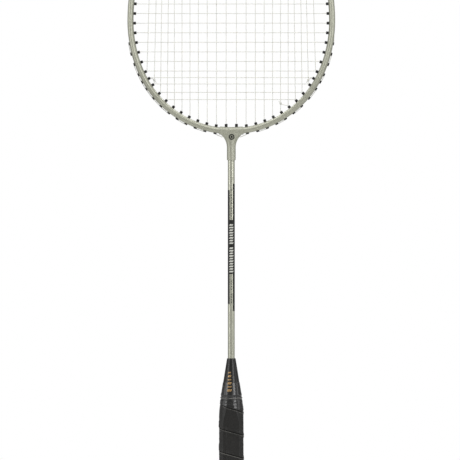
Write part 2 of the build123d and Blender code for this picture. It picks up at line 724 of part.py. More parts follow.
def main():
    os.makedirs("parts", exist_ok=True)
    for name, make in PIECES.items():
        export_step(make(), f"parts/{name}.step")
    groups = {name: make() for name, make in GROUPS.items()} | grommet_groups()
    for name, solids in groups.items():
        export_step(Compound(children=solids), f"parts/{name}.step")


main()
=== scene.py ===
from math import acos, atan2, cos, degrees, exp, floor, hypot, pi, radians, sin, sqrt, tan

import bmesh
import bpy
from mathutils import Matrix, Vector, noise


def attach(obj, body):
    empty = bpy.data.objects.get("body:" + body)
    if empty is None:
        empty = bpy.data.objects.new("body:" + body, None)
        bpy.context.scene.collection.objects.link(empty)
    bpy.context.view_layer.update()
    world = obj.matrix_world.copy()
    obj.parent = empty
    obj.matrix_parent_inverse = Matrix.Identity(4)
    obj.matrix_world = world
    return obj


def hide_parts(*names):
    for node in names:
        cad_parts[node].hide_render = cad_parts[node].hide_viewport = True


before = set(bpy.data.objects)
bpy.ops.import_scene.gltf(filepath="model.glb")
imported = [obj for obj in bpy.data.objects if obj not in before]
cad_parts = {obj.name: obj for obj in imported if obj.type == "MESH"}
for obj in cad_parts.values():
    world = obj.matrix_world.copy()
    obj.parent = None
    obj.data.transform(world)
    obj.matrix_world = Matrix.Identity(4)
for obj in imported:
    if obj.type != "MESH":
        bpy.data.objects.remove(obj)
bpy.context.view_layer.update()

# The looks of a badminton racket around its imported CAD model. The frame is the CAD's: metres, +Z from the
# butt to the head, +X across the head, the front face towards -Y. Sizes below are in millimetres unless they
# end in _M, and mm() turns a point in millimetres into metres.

BODY = "root"

# -------- driving dimensions, as in the CAD
TUBE_WIDTH, TUBE_DEPTH = 6.3, 9.5
OVERALL_LENGTH = 670.0
HEAD_HALF_WIDTH, HEAD_LOWER, HEAD_UPPER = 100.9, 110.15, 131.5
LOWER_SIDE_TURN, UPPER_SIDE_TURN, SHOULDER_TURN = 24.0, 24.0, 46.0
UPPER_SIDE_RADIUS = 205.0
GROOVE_DEPTH = 2.0
GROOVE_END_ANGLE = -2.0
WIDEST_Z = OVERALL_LENGTH - HEAD_UPPER - TUBE_WIDTH / 2

STRING_RADIUS = 0.35
LAYER = 0.36
MAIN_FIRST, MAIN_PITCH, MAIN_CLOSING, MAIN_LAST_GAP = 5.15, 9.7, 0.42, 7.2
MAINS_PER_SIDE, SHARED_MAINS = 11, 4
CROSS_PITCH, EVEN_CROSSES = 9.6, 13
CLOSE_CROSS_PITCH, CLOSE_CROSSES = 7.3, 4
GROMMET_FLANGE, FLANGE_HEIGHT, SADDLE_DEPTH, SEAT_GAP = 1.7, 1.15, 0.8, 0.02
BARREL_PROUD, STRING_LIFT, INNER_REACH = 2.4, 0.62, 0.3
OUTER_BEND, INNER_BEND, STRAIGHT_ENOUGH = 0.9, 1.2, 3.0
THROAT_BEND, THROAT_SLANT, THROAT_EXIT = 3.6, 30.0, 7.6

JOINT_HALF_SPAN, JOINT_SKIN, JOINT_FACE_SKIN = 11.8, 0.95, 0.55
JOINT_SLEEVE_RADIUS, JOINT_SLEEVE_BOTTOM = 4.4, 396.1
JOINT_FLARE_RADIUS, JOINT_FLARE_BOTTOM = 17.0, 408.75
SHAFT_RADIUS = 3.45
JOINT_TOP = WIDEST_Z - HEAD_LOWER + TUBE_WIDTH / 2 + JOINT_SKIN


def mm(x, y, z):
    return Vector((x, y, z)) / 1000


# -------- the head's outline, as in the CAD
def arc_pair(start, middle, across, along):
    """Radii of two tangent arcs, normals from start to middle to 90 degrees, covering the two distances."""
    a0, a1 = radians(start), radians(middle)
    x1, x2 = cos(a0) - cos(a1), cos(a1)
    z1, z2 = sin(a1) - sin(a0), 1 - sin(a1)
    det = x1 * z2 - x2 * z1
    return (across * z2 - x2 * along) / det, (x1 * along - across * z1) / det


LOW_SIDE_RADIUS, BOTTOM_RADIUS = arc_pair(0, LOWER_SIDE_TURN, HEAD_HALF_WIDTH, HEAD_LOWER)


def head_arcs():
    """The right half of the head: (centre x, centre z, radius, lowest and highest normal angle)."""
    turn = radians(UPPER_SIDE_TURN)
    shoulder_end = UPPER_SIDE_TURN + SHOULDER_TURN
    shoulder, crown = arc_pair(
        UPPER_SIDE_TURN,
        shoulder_end,
        HEAD_HALF_WIDTH - UPPER_SIDE_RADIUS * (1 - cos(turn)),
        HEAD_UPPER - UPPER_SIDE_RADIUS * sin(turn),
    )
    lower = ((LOW_SIDE_RADIUS, 0, LOWER_SIDE_TURN), (BOTTOM_RADIUS, LOWER_SIDE_TURN, 90))
    upper = (
        (UPPER_SIDE_RADIUS, 0, UPPER_SIDE_TURN),
        (shoulder, UPPER_SIDE_TURN, shoulder_end),
        (crown, shoulder_end, 90),
    )
    arcs = []
    for sign, steps in ((-1, lower), (1, upper)):
        x, z = HEAD_HALF_WIDTH, WIDEST_Z
        for radius, start, end in steps:
            cx, cz = x - radius * cos(radians(start)), z - sign * radius * sin(radians(start))
            x, z = cx + radius * cos(radians(end)), cz + sign * radius * sin(radians(end))
            arcs.append((cx, cz, radius, min(sign * start, sign * end), max(sign * start, sign * end)))
    return sorted(arcs, key=lambda arc: arc[3])


ARCS = head_arcs()
MOUTH = -(TUBE_WIDTH / 2 + BARREL_PROUD)


def rim(angle, out=0.0, side=1):
    """The point (x, z) whose outward normal stands at that angle above the X axis, moved out by out."""
    cx, cz, radius = next(arc[:3] for arc in ARCS if angle <= arc[4])
    reach = radius + out
    return side * (cx + reach * cos(radians(angle))), cz + reach * sin(radians(angle))


def rim_angle(axis, value, low, high):
    """The normal angle where the line of the barrels' mouths has that x (axis 0) or z (axis 1)."""
    rising = rim(high, MOUTH)[axis] > rim(low, MOUTH)[axis]
    for _ in range(50):
        middle = (low + high) / 2
        if (rim(middle, MOUTH)[axis] < value) == rising:
            low = middle
        else:
            high = middle
    return (low + high) / 2


class Hole:
    """One grommet hole on the right half of the head; the left half mirrors it."""

    def __init__(self, angle):
        self.angle = angle
        run_angle = radians(GROOVE_END_ANGLE - angle)
        seat = TUBE_WIDTH / 2 - GROOVE_DEPTH
        if run_angle > 0:
            seat = (seat + LOW_SIDE_RADIUS * (1 - cos(run_angle))) / cos(run_angle)
            seat += GROMMET_FLANGE * tan(run_angle)
        self.seat = min(TUBE_WIDTH / 2, seat) + SEAT_GAP

    def over(self, side):
        return rim(self.angle, self.seat + FLANGE_HEIGHT - SADDLE_DEPTH + STRING_LIFT, side)

    def inside(self, side):
        return rim(self.angle, MOUTH - INNER_REACH, side)

    def mouth_z(self):
        return rim(self.angle, MOUTH)[1]


def main_spacing():
    x, places = MAIN_FIRST, [MAIN_FIRST]
    for k in range(MAINS_PER_SIDE - 2):
        x += MAIN_PITCH - k * MAIN_CLOSING
        places.append(x)
    return places + [x + MAIN_LAST_GAP]


MAIN_X = main_spacing()
BOTTOM = [Hole(rim_angle(0, x, -89.9, -1)) for x in MAIN_X]
TOP_ALONE = [Hole(rim_angle(0, x, 89.9, 1)) for x in MAIN_X[:-SHARED_MAINS]]
SHARED_BOTTOM = BOTTOM[-SHARED_MAINS:]
LOW_SIDE = Hole((SHARED_BOTTOM[2].angle + SHARED_BOTTOM[3].angle) / 2)


def side_holes(start, pitch, count):
    return [Hole(rim_angle(1, start + pitch * k, -88, 88)) for k in range(1, count + 1)]


EVEN_SIDES = side_holes(BOTTOM[-1].mouth_z(), CROSS_PITCH, EVEN_CROSSES)
CROWN_SIDES = side_holes(EVEN_SIDES[-1].mouth_z(), CLOSE_CROSS_PITCH, CLOSE_CROSSES)
CROSS_HOLES = SHARED_BOTTOM[:3] + [LOW_SIDE, SHARED_BOTTOM[3]] + EVEN_SIDES + CROWN_SIDES
TOP = TOP_ALONE + CROWN_SIDES[:0:-1] + [EVEN_SIDES[-1]]
MAINS = [(-1, k) for k in reversed(range(MAINS_PER_SIDE))] + [(1, k) for k in range(MAINS_PER_SIDE)]


def throat_points(side):
    """The bend inside the joint and the turn under its shoulder, for a middle main."""
    x, z = side * MAIN_FIRST, JOINT_TOP - THROAT_BEND
    slant = radians(THROAT_SLANT)
    return (x, z), (x + side * THROAT_EXIT * sin(slant), z - THROAT_EXIT * cos(slant))


def foot_of(side, k):
    """Where a main turns inside the head at its lower end."""
    return BOTTOM[k].inside(side) if k else throat_points(side)[0]


def x_on_main(side, k, z):
    (x0, z0), (x1, z1) = foot_of(side, k), TOP[k].inside(side)
    return x0 + (x1 - x0) * (z - z0) / (z1 - z0)


# -------- strings, woven and knotted
WEAVE = 0.36  # a string's height above or below the mid-plane where it crosses another
CROSSING_FLAT = 1.5  # how far a crossing string stays level to either side
CROSSING_MARGIN = 3.0  # no crossing is nearer than this to a turn inside the head
KNOT_TURNS, KNOT_COIL_RADIUS, KNOT_RISE = 2.5, 0.78, 0.76
KNOT_STEPS = 8  # points in each turn of a knot
KNOT_GAP = 1.5  # from the knot's string to the first turn, along the main
TAIL, TAIL_LIFT = 2.2, 0.3


def unit(a, b):
    length = hypot(b[0] - a[0], b[1] - a[1])
    return (b[0] - a[0]) / length, (b[1] - a[1]) / length


def turn_at(before, point, after):
    a, b = unit(before, point), unit(point, after)
    return degrees(acos(max(-1, min(1, a[0] * b[0] + a[1] * b[1]))))


def bezier_corner(before, point, after, layer):
    """Two bezier points (place, left handle, right handle) round one corner of a route."""
    turn = radians(turn_at(before, point, after))
    radius = OUTER_BEND if turn > radians(60) else INNER_BEND
    back, handle = radius * tan(turn / 2), 4 / 3 * tan(turn / 4) * radius

    def stop(direction, along, behind, ahead):
        """A place on a line through the corner, and the places of its two handles on the same line."""
        (x, z), (dx, dz) = point, direction
        return [mm(x + dx * s, layer, z + dz * s) for s in (along, along - behind, along + ahead)]

    return [stop(unit(before, point), -back, 1, handle), stop(unit(point, after), back, handle, 1)]


def crossing(point, direction, height):
    x, z = point
    dx, dz = direction[0] * CROSSING_FLAT, direction[1] * CROSSING_FLAT
    return [mm(x, height, z), mm(x - dx, height, z - dz), mm(x + dx, height, z + dz)]


def meeting(main, cross):
    """Where a main crosses a cross, or None if it doesn't."""
    side, k = main
    reach, z = CROSS_HOLES[cross].inside(1)
    x = x_on_main(side, k, z)
    above_foot, below_head = z - foot_of(side, k)[1], TOP[k].inside(side)[1] - z
    return (x, z) if min(above_foot, below_head, reach - abs(x)) > CROSSING_MARGIN else None


def main_weave(index):
    """The crossings of a main from its foot up, each with its height off the mid-plane."""
    spots = []
    for cross in range(len(CROSS_HOLES)):
        spot = meeting(MAINS[index], cross)
        if spot:
            spots.append((spot, WEAVE if (index + cross) % 2 == 0 else -WEAVE))
    return spots


def cross_weave(cross):
    """The crossings of a cross from left to right."""
    spots = []
    for index, main in enumerate(MAINS):
        spot = meeting(main, cross)
        if spot:
            spots.append((spot, -WEAVE if (index + cross) % 2 == 0 else WEAVE))
    return spots


def main_route():
    """Corners of the main string, each (point, crossings that follow it)."""
    route = [(LOW_SIDE.inside(-1), []), (LOW_SIDE.over(-1), [])]
    for index, (side, k) in enumerate(MAINS):
        weave = main_weave(index)
        foot = throat_points(side)[::-1] if k == 0 else (BOTTOM[k].over(side), BOTTOM[k].inside(side))
        head = (TOP[k].inside(side), TOP[k].over(side))
        skipped = [(CROWN_SIDES[0].over(side), [])] if k == MAINS_PER_SIDE - 1 else []
        if index % 2 == 0:
            route += [(foot[0], []), (foot[1], weave), (head[0], []), (head[1], [])]
            route += skipped
        else:
            route += skipped
            route += [(head[1], []), (head[0], weave[::-1]), (foot[1], []), (foot[0], [])]
    return route + [(LOW_SIDE.over(1), []), (LOW_SIDE.inside(1), [])]


def cross_route():
    """Corners of the cross string, from the throat to the crown."""
    low_tie, high_tie = BOTTOM[-SHARED_MAINS - 1], TOP[-SHARED_MAINS - 1]
    route = [(low_tie.inside(1), []), (low_tie.over(1), [])]
    side = 1
    for index, hole in enumerate(CROSS_HOLES):
        weave = cross_weave(index)
        route += [(hole.over(side), []), (hole.inside(side), weave[:: -side])]
        route += [(hole.inside(-side), []), (hole.over(-side), [])]
        side = -side
    return route + [(high_tie.over(side), []), (high_tie.inside(side), [])]


def knot(side, main, z, layer, away):
    """Points of a knot round a main, from the string's side of it: a tight coil and a cut tail."""
    points = []
    for step in range(int(KNOT_TURNS * KNOT_STEPS) + 1):
        turn = 2 * pi * step / KNOT_STEPS
        height = z + away * (KNOT_GAP + KNOT_RISE * step / KNOT_STEPS)
        x = x_on_main(side, main, height) + side * KNOT_COIL_RADIUS * cos(turn)
        points.append(mm(x, layer * 0.5 + KNOT_COIL_RADIUS * sin(turn), height))
    end = points[-1] * 1000
    lift = TAIL_LIFT if layer > 0 else -TAIL_LIFT
    points.append(mm(end.x - side * TAIL * 0.5, end.y + lift, end.z + away * TAIL * 0.7))
    return points


def string_object(name, route, layer, knots):
    """One string as a round bezier curve along its route, woven between corners and knotted at both ends."""
    corners = [corner for corner, _ in route]
    points = []
    for k, (corner, weave) in enumerate(route):
        before = corners[k - 1] if k else knots[0][0]
        after = corners[k + 1] if k + 1 < len(corners) else knots[1][0]
        if turn_at(before, corner, after) > STRAIGHT_ENOUGH:
            points += bezier_corner(before, corner, after, layer)
        for spot, height in weave:
            points.append(crossing(spot, unit(corner, after), height))
    ends = [[[p, None, None] for p in coil] for _, coil in knots]
    points = ends[0][::-1] + points + ends[1]
    curve = bpy.data.curves.new(name, "CURVE")
    curve.dimensions = "3D"
    curve.bevel_depth = STRING_RADIUS / 1000
    curve.bevel_resolution = 3
    curve.resolution_u = 5
    curve.use_fill_caps = True
    spline = curve.splines.new("BEZIER")
    spline.bezier_points.add(len(points) - 1)
    for point, (place, left, right) in zip(spline.bezier_points, points):
        point.co = place
        if left is None:
            point.handle_left_type = point.handle_right_type = "AUTO"
        else:
            point.handle_left_type = point.handle_right_type = "FREE"
            point.handle_left, point.handle_right = left, right
    pattern = in_scene(name, curve)
    mesh = evaluated_mesh(pattern)
    bpy.data.objects.remove(pattern)
    return place_mesh(name, mesh)


def tied(hole, side, main, layer, away):
    """A string's end: the place that its last run heads for, and the knot's points."""
    z = hole.inside(side)[1]
    start = (x_on_main(side, main, z) + side * KNOT_COIL_RADIUS, z + away * KNOT_GAP)
    return start, knot(side, main, z, layer, away)


def make_strings():
    last_main = MAINS_PER_SIDE - 2
    last_knotted = MAINS_PER_SIDE - SHARED_MAINS - 2
    top_side = 1 if len(CROSS_HOLES) % 2 == 0 else -1
    main_knots = [tied(LOW_SIDE, side, last_main, LAYER, -1) for side in (-1, 1)]
    cross_knots = [
        tied(BOTTOM[-SHARED_MAINS - 1], 1, last_knotted, -LAYER, 1),
        tied(TOP[-SHARED_MAINS - 1], top_side, last_knotted, -LAYER, -1),
    ]
    mains = string_object("main_string_woven", main_route(), LAYER, main_knots)
    crosses = string_object("cross_string_woven", cross_route(), -LAYER, cross_knots)
    finish = string_material()
    adopt(mains, "main_string", finish)
    adopt(crosses, "cross_string", finish)


# -------- mesh helpers
def edges_in(parts):
    return [part for part in parts if isinstance(part, bmesh.types.BMEdge)]


def in_scene(name, data):
    """A new object in the scene, with that mesh, curve, light or camera as its data."""
    item = bpy.data.objects.new(name, data)
    bpy.context.scene.collection.objects.link(item)
    return item


def place_mesh(name, mesh, smooth=True):
    for face in mesh.polygons:
        face.use_smooth = smooth
    return in_scene(name, mesh)


def link_mesh(name, bm, smooth=True):
    bmesh.ops.recalc_face_normals(bm, faces=bm.faces)
    mesh = bpy.data.meshes.new(name)
    bm.to_mesh(mesh)
    bm.free()
    return place_mesh(name, mesh, smooth)


def bridge(bm, lower, upper):
    for k in range(len(lower)):
        nxt = (k + 1) % len(lower)
        bm.faces.new((lower[k], lower[nxt], upper[nxt], upper[k]))


def solid_of_rings(rings, round_again=False):
    """A solid through rings of points: with a cap at each end, or with its last ring joined to its first."""
    bm = bmesh.new()
    loops = [[bm.verts.new(p) for p in ring] for ring in rings]
    for near, far in zip(loops, loops[1:]):
        bridge(bm, near, far)
    if round_again:
        bridge(bm, loops[-1], loops[0])
    else:
        bm.faces.new(loops[0])
        bm.faces.new(loops[-1])
    return bm


def evaluated_mesh(piece):
    graph = bpy.context.evaluated_depsgraph_get()
    return bpy.data.meshes.new_from_object(piece.evaluated_get(graph))


def apply_modifiers(piece):
    mesh = evaluated_mesh(piece)
    piece.modifiers.clear()
    piece.data = mesh


def coat(piece, material):
    piece.data.materials.clear()
    piece.data.materials.append(material)


def adopt(piece, node, material):
    """The piece rides on the body, stands for a CAD node if one is named, and gets its material."""
    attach(piece, BODY)
    if node:
        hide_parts(node)
    coat(piece, material)


# -------- T-joint
JOINT_VOXEL = 0.22
JOINT_ROUND_PASSES = 14
JOINT_FLARE_INSET = 0.15
JOINT_RING, ARM_STEPS, FLARE_STEPS = 64, 24, 20
SLEEVE_MOUTH = 0.35  # the sleeve's end is chamfered by this much
CREASE_START, CREASE_END = JOINT_FLARE_BOTTOM + 4, WIDEST_Z - HEAD_LOWER + 1
OUTSIDE_CREASE = 0.25  # the share of the smoothing that the rest of the joint gets


def ellipse_ring(x_half, y_half, place):
    turns = [2 * pi * k / JOINT_RING for k in range(JOINT_RING)]
    return [place(x_half * cos(turn), y_half * sin(turn)) for turn in turns]


def joint_half_width(z):
    rise = max(0.0, z - JOINT_FLARE_BOTTOM)
    return JOINT_SLEEVE_RADIUS + JOINT_FLARE_RADIUS - sqrt(JOINT_FLARE_RADIUS**2 - rise**2)


def joint_arm():
    """The arm over the tube's two ends: an oval swept along the bottom of the head."""
    half_x, half_y = TUBE_WIDTH / 2 + JOINT_SKIN, TUBE_DEPTH / 2 + JOINT_FACE_SKIN
    centre_z = WIDEST_Z - HEAD_LOWER + BOTTOM_RADIUS
    end = degrees(acos(JOINT_HALF_SPAN / BOTTOM_RADIUS))
    rings = []
    for k in range(ARM_STEPS + 1):
        angle = radians(-180 + end + (180 - 2 * end) * k / ARM_STEPS)

        def place(out, y):
            return mm((BOTTOM_RADIUS + out) * cos(angle), y, centre_z + (BOTTOM_RADIUS + out) * sin(angle))

        rings.append(ellipse_ring(half_x, half_y, place))
    return solid_of_rings(rings)


def joint_flare():
    """Sleeve and flare in one: a round column that swells into the arm."""
    top = WIDEST_Z - HEAD_LOWER - TUBE_WIDTH / 2
    deep = TUBE_DEPTH / 2 + JOINT_FACE_SKIN - JOINT_FLARE_INSET
    radius = JOINT_SLEEVE_RADIUS
    rings = []
    for z, grow in ((JOINT_SLEEVE_BOTTOM, -SLEEVE_MOUTH), (JOINT_SLEEVE_BOTTOM + SLEEVE_MOUTH, 0)):
        rings.append(ellipse_ring(radius + grow, radius + grow, lambda x, y: mm(x, y, z)))
    for k in range(FLARE_STEPS + 1):
        part_way = k / FLARE_STEPS
        z = JOINT_FLARE_BOTTOM + part_way * (top + TUBE_WIDTH / 2 - JOINT_FLARE_BOTTOM)
        x_half = joint_half_width(min(z, top))
        y_half = radius + min(1, part_way * 1.2) ** 2 * (deep - radius)
        rings.append(ellipse_ring(x_half, y_half, lambda x, y: mm(x, y, z)))
    return solid_of_rings(rings)


def make_joint():
    """Arm and flare are fused by a voxel remesh, then the crease between them is smoothed away."""
    bm = bmesh.new()
    for part in (joint_arm(), joint_flare()):
        mesh = bpy.data.meshes.new("part")
        bmesh.ops.recalc_face_normals(part, faces=part.faces)
        part.to_mesh(mesh)
        part.free()
        bm.from_mesh(mesh)
        bpy.data.meshes.remove(mesh)
    joint = link_mesh("t_joint_moulding", bm)
    remesh = joint.modifiers.new("fuse", "REMESH")
    remesh.mode = "VOXEL"
    remesh.voxel_size = JOINT_VOXEL / 1000
    remesh.use_smooth_shade = True
    apply_modifiers(joint)

    crease = joint.vertex_groups.new(name="crease")
    for vertex in joint.data.vertices:
        inside = CREASE_START < vertex.co.z * 1000 < CREASE_END
        crease.add([vertex.index], 1.0 if inside else OUTSIDE_CREASE, "REPLACE")
    soft = joint.modifiers.new("soften", "SMOOTH")
    soft.factor = 0.5
    soft.iterations = JOINT_ROUND_PASSES
    soft.vertex_group = crease.name
    apply_modifiers(joint)
    for face in joint.data.polygons:
        face.use_smooth = True
    adopt(joint, "t_joint", joint_material())
    return joint


# -------- the mark on the joint
MARK_X, MARK_DROP = 0.3, 10.1  # its centre, and how far that is below the joint's top
MARK_RADIUS, MARK_LINE, MARK_DOT = 2.9, 1.2, 1.15
MARK_LIFT = 0.03
MARK_STEPS = 48
MARK_START_Y = -8.0  # in front of the joint, before the mark is laid on it


def make_mark(joint):
    """A plain ring round a dot, laid on the joint's front face."""
    bm = bmesh.new()
    z = JOINT_TOP - MARK_DROP

    def circle(radius):
        turns = [2 * pi * k / MARK_STEPS for k in range(MARK_STEPS)]
        places = [mm(MARK_X + radius * cos(turn), MARK_START_Y, z + radius * sin(turn)) for turn in turns]
        return [bm.verts.new(place) for place in places]

    bridge(bm, circle(MARK_RADIUS - MARK_LINE), circle(MARK_RADIUS))
    rings = [circle(MARK_DOT * part) for part in (1.0, 0.5)]
    bridge(bm, *rings)
    centre = bm.verts.new(mm(MARK_X, MARK_START_Y, z))
    for k in range(MARK_STEPS):
        bm.faces.new((rings[1][k], rings[1][(k + 1) % MARK_STEPS], centre))
    mark = link_mesh("joint_mark", bm)
    wrap = mark.modifiers.new("lay", "SHRINKWRAP")
    wrap.target = joint
    wrap.wrap_method = "PROJECT"
    wrap.use_project_y = True
    wrap.use_positive_direction = True
    wrap.offset = MARK_LIFT / 1000
    apply_modifiers(mark)
    thick = mark.modifiers.new("film", "SOLIDIFY")
    thick.thickness = MARK_LIFT * 1.5 / 1000
    apply_modifiers(mark)
    adopt(mark, None, ink_material())


# -------- printed bands on the shaft and the cone
DECAL_LIFT = 0.06
INK_THICKNESS = 0.05
PATCH_ROWS = 7  # in a patch that leans or narrows


def curved_patch(bm, radius_at, centre_angle, x0, x1, z0, z1, slant=0.0, columns=8):
    """A thin closed patch of ink on a round surface, its sides leaning over by slant from foot to head."""
    rows = 2 if slant == 0 and radius_at(z0) == radius_at(z1) else PATCH_ROWS

    def corner(across, up, lift):
        z = z0 + (z1 - z0) * up
        radius = radius_at(z) + lift
        x = x0 + (x1 - x0) * across + slant * (up - 0.5)
        angle = centre_angle + x / radius
        return bm.verts.new(mm(radius * cos(angle), radius * sin(angle), z))

    sheets = []
    for lift in (0.0, INK_THICKNESS):
        heights = [r / (rows - 1) for r in range(rows)]
        sheets.append([[corner(c / columns, up, lift) for c in range(columns + 1)] for up in heights])
    for sheet in sheets:
        for r in range(rows - 1):
            for c in range(columns):
                bm.faces.new((sheet[r][c], sheet[r][c + 1], sheet[r + 1][c + 1], sheet[r + 1][c]))

    def border(sheet):
        right = [row[-1] for row in sheet[1:-1]]
        left = [row[0] for row in sheet[1:-1]]
        return sheet[0] + right + sheet[-1][::-1] + left[::-1]

    bridge(bm, border(sheets[0]), border(sheets[1]))


def shaft_surface(_z):
    return SHAFT_RADIUS + DECAL_LIFT


def bare_shaft(_z):
    return SHAFT_RADIUS


FRONT = -pi / 2
BAR_GROUPS = ((284.0, 10), (312.4, 8))  # the foot of each group of bars, and how many bars it has
BAR_PITCH, BAR_HEIGHT, BAR_SLANT = 2.6, 1.5, 1.0
BAR_HALF_WIDTHS = (2.05, 1.75)
DASHES_BELOW, DASHES_ABOVE = (253.5, 279.5), (339.5, 369.0)
DASH_PITCH, DASH_HEIGHT, DASH_SIDES = 2.6, 1.5, (-0.45, 0.35)
DASH_GROUP = 5  # the last place of each group is left empty


def make_shaft_print():
    """Pale slanted bars up the black band on the front and back, and fine dark dashes above and below it."""
    bm = bmesh.new()
    for facing in (FRONT, FRONT + pi):
        for foot, count in BAR_GROUPS:
            for k in range(count):
                half, low = BAR_HALF_WIDTHS[k % 2], foot + BAR_PITCH * k
                curved_patch(bm, shaft_surface, facing, -half, half, low, low + BAR_HEIGHT, slant=BAR_SLANT)
    adopt(link_mesh("shaft_print_bars", bm), None, pale_ink_material())
    bm = bmesh.new()
    for low, high in (DASHES_BELOW, DASHES_ABOVE):
        for k in range(int((high - low) / DASH_PITCH)):
            z = low + DASH_PITCH * k
            if (k + 1) % DASH_GROUP:
                curved_patch(bm, bare_shaft, FRONT, *DASH_SIDES, z, z + DASH_HEIGHT, columns=3)
    adopt(link_mesh("shaft_print_dashes", bm), None, ink_material())


CONE_TOP, CONE_SHOULDER, CONE_TOP_RADIUS, CONE_BASE_RADIUS = 198.0, 162.2, 4.3, 10.0
ORNAMENT_X = -1.9
ORNAMENT_LOW, ORNAMENT_HIGH = 164.8, 185.8
ORNAMENT_BARS, ORNAMENT_TALL, ORNAMENT_SHORT = 6, 0.62, 0.34  # how much of its pitch a bar fills
ORNAMENT_HALF_WIDTH, ORNAMENT_TAPER, ORNAMENT_SLANT = 2.2, 0.16, 0.8
ORNAMENT_ON_CONE, ORNAMENT_ON_TAPE = 0.01, 0.34  # how far the print lies off the cone


def cone_radius(z):
    slope = (CONE_BASE_RADIUS - CONE_TOP_RADIUS) / (CONE_TOP - CONE_SHOULDER)
    return CONE_BASE_RADIUS - slope * max(0.0, z - CONE_SHOULDER)


def ornament_radius(z):
    """The cone's surface, or the outside of the tape where that covers it."""
    return cone_radius(z) + (ORNAMENT_ON_TAPE if z < TAPE_TOP else ORNAMENT_ON_CONE)


def make_cone_print():
    """A ladder of gold bars, tall and short by turns, that narrow towards the cone's top."""
    bm = bmesh.new()
    pitch = (ORNAMENT_HIGH - ORNAMENT_LOW) / ORNAMENT_BARS
    for k in range(ORNAMENT_BARS):
        z = ORNAMENT_LOW + pitch * (k + 0.5)
        half_width = ORNAMENT_HALF_WIDTH - ORNAMENT_TAPER * k
        left, right = ORNAMENT_X - half_width, ORNAMENT_X + half_width
        half = pitch * (ORNAMENT_TALL if k % 2 == 0 else ORNAMENT_SHORT) / 2
        curved_patch(bm, ornament_radius, FRONT, left, right, z - half, z + half, slant=ORNAMENT_SLANT)
    adopt(link_mesh("cone_print_bars", bm), "cone_decal", gold_ink_material())


# -------- grip
GRIP_BOTTOM, GRIP_TOP, GRIP_END_RADIUS = 3.5, 159.0, 10.3
GRIP_BODY = (24.3, 22.5, 3.83)  # width, depth and corner across the flats
GRIP_BUTT = (29.9, 27.9, 4.93)
GRIP_EDGE = 1.5  # radius along the octagon's eight edges
BUTT_HEIGHT, BUTT_FLARE_TOP = 12.0, 26.0
CONE_IN, CONE_IN_RADIUS = 133.2, 14.2  # where the grip starts to cone in, and its radius there
CONE_SOFTNESS = 0.35
WRAP_PITCH = 22.9
WRAP_PHASE_Z = 128.1  # height of a seam at the left end of the front flat
# A turn's relief: millimetres above its seam, and how far the surface stands out there. Its lower edge is
# thick and rounded, its middle is flat, and it thins out under the next turn's edge.
LAP_BELOW = ((0.0, -0.5), (0.04, 0.05), (0.14, 0.3), (0.34, 0.43), (0.65, 0.47), (1.1, 0.42), (1.7, 0.3))
LAP_FADE = ((2.5, 0.14), (3.5, 0.03))
LAP_FLAT = tuple((4.6 + 1.2 * k, 0.0) for k in range(13))
LAP_ABOVE = ((20.2, -0.02), (21.2, -0.08), (22.0, -0.28), (22.6, -0.48))
WRAP_ROWS = LAP_BELOW + LAP_FADE + LAP_FLAT + LAP_ABOVE
LAP_EDGE = ((-1.6, -0.3), (-1.45, 0.1), (-1.0, 0.12), (-0.7, -0.35))  # above the seam, and outwards
# A dark strip in the groove of each seam, a painted shadow: above the seam, and outwards.
LAP_SHADOW = ((-0.75, -0.5), (-0.65, -0.2), (-0.1, -0.2), (0.0, -0.5))
EDGE_STEPS = 7
FLAT_STEPS = (26, 8, 24, 8, 26, 8, 24, 8)


def octagon_outline(width, depth, corner):
    """Points (x, y) and outward normals (x, y) round an octagon with rounded edges, anticlockwise from the
    left end of the front flat."""
    w, d = width / 2, depth / 2
    tips = [(-w + corner, -d), (w - corner, -d), (w, -d + corner), (w, d - corner)]
    tips += [(-x, -y) for x, y in tips]
    points = []
    for k in range(8):
        a, b, c = tips[k - 1], tips[k], tips[(k + 1) % 8]
        (ux, uy), (vx, vy) = unit(a, b), unit(b, c)
        turn = acos(ux * vx + uy * vy)
        back = GRIP_EDGE * tan(turn / 2)
        start = (b[0] - ux * back, b[1] - uy * back)
        centre = (start[0] - uy * GRIP_EDGE, start[1] + ux * GRIP_EDGE)
        heading = atan2(-ux, uy)
        for step in range(EDGE_STEPS + 1):
            angle = heading + turn * step / EDGE_STEPS
            nx, ny = cos(angle), sin(angle)
            points.append((centre[0] + GRIP_EDGE * nx, centre[1] + GRIP_EDGE * ny, nx, ny))
        end = (b[0] + vx * back, b[1] + vy * back)
        stop = (c[0] - vx * back, c[1] - vy * back)
        for step in range(1, FLAT_STEPS[k]):
            part_way = step / FLAT_STEPS[k]
            x, y = (end[i] + (stop[i] - end[i]) * part_way for i in (0, 1))
            points.append((x, y, vy, -vx))
    return points


def lerp(a, b, part_way):
    part_way = max(0.0, min(1.0, part_way))
    return tuple(p + (q - p) * part_way for p, q in zip(a, b))


def ease(part_way):
    part_way = max(0.0, min(1.0, part_way))
    return part_way * part_way * (3 - 2 * part_way)


def grip_outline(z):
    """The octagon at height z, drawn in to a round cone near the top."""
    size = lerp(GRIP_BUTT, GRIP_BODY, ease((z - BUTT_HEIGHT + 2) / (BUTT_FLARE_TOP - BUTT_HEIGHT + 4)))
    limit = CONE_IN_RADIUS + (GRIP_END_RADIUS - CONE_IN_RADIUS) * (z - CONE_IN) / (GRIP_TOP - CONE_IN)
    points = []
    for x, y, nx, ny in octagon_outline(*size):
        radius = hypot(x, y)
        over = radius - limit
        soft = hypot(over, CONE_SOFTNESS)
        shrunk = 1 - 0.5 * (over + soft) / radius
        nx, ny = lerp((nx, ny), (x / radius, y / radius), 0.5 + 0.5 * over / soft)
        points.append((x * shrunk, y * shrunk, nx, ny))
    return points


